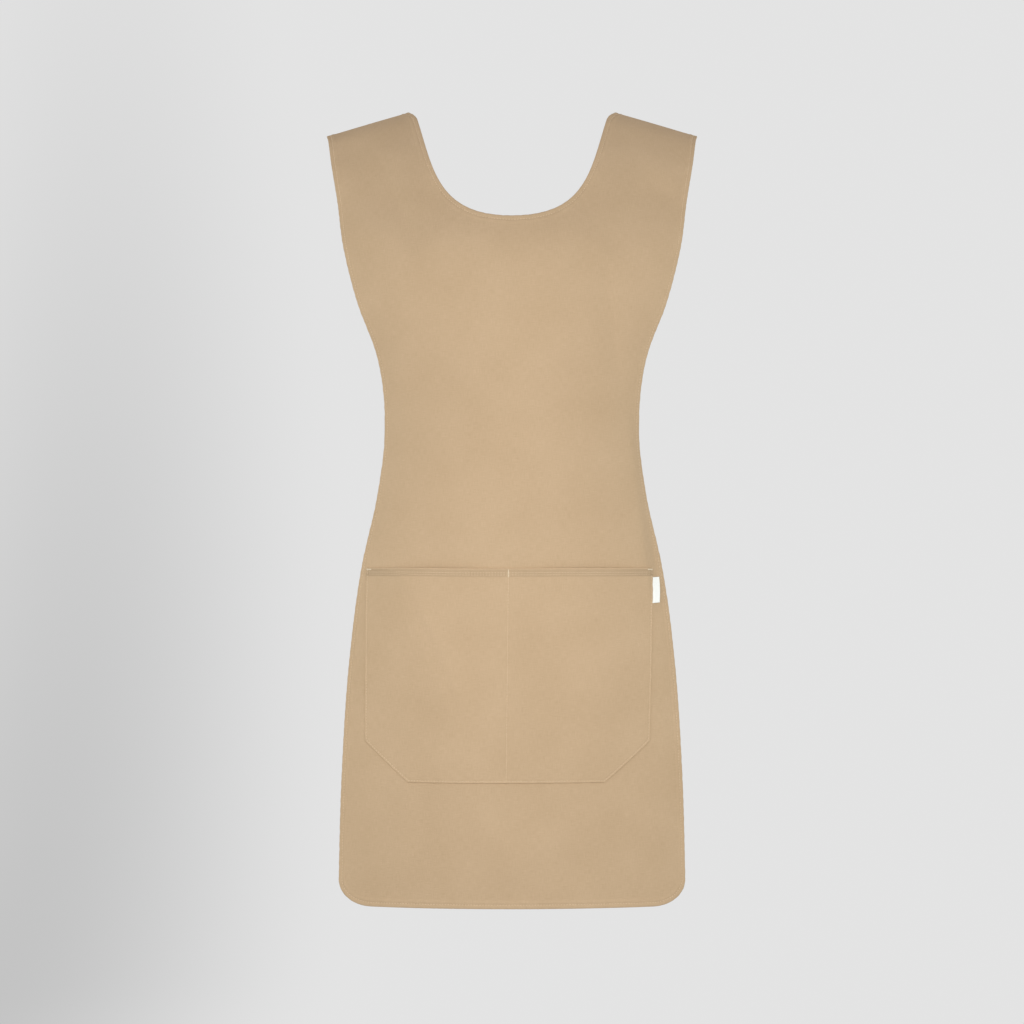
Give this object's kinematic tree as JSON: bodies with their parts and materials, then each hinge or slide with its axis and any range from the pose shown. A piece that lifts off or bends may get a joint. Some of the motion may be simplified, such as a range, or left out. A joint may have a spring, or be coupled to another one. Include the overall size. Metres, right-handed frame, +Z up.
{
  "type": "cobbler apron",
  "caption": "Open-sided tabard apron of plain work cloth in its worn form: scooped neck, wide shoulders, drawn-in waist, side straps and a two-part patch pocket.",
  "frame": {"origin": "midway between the shoulders, at the height where the middle of each strap's underside rests on its shoulder", "axes": "+Z up, the front faces -Y, +X to the wearer's left"},
  "size_m": [0.3908, 0.2397, 0.8293],
  "materials": {
    "beige_cloth": "matt plain-woven work cloth",
    "hem_cloth": "the same cloth, turned under",
    "white_tape": "smooth white tape"
  },
  "bodies": {
    "root": {"front_panel": "beige_cloth", "back_panel": "beige_cloth", "front_neck_hem": "hem_cloth", "front_right_hem": "hem_cloth", "front_left_hem": "hem_cloth", "front_bottom_hem": "hem_cloth", "back_neck_hem": "hem_cloth", "back_right_hem": "hem_cloth", "back_left_hem": "hem_cloth", "back_bottom_hem": "hem_cloth", "left_shoulder_seam": "hem_cloth", "left_side_strap": "beige_cloth", "right_shoulder_seam": "hem_cloth", "right_side_strap": "beige_cloth", "pocket": "beige_cloth", "side_label": "white_tape"}
  },
  "joints": []
}
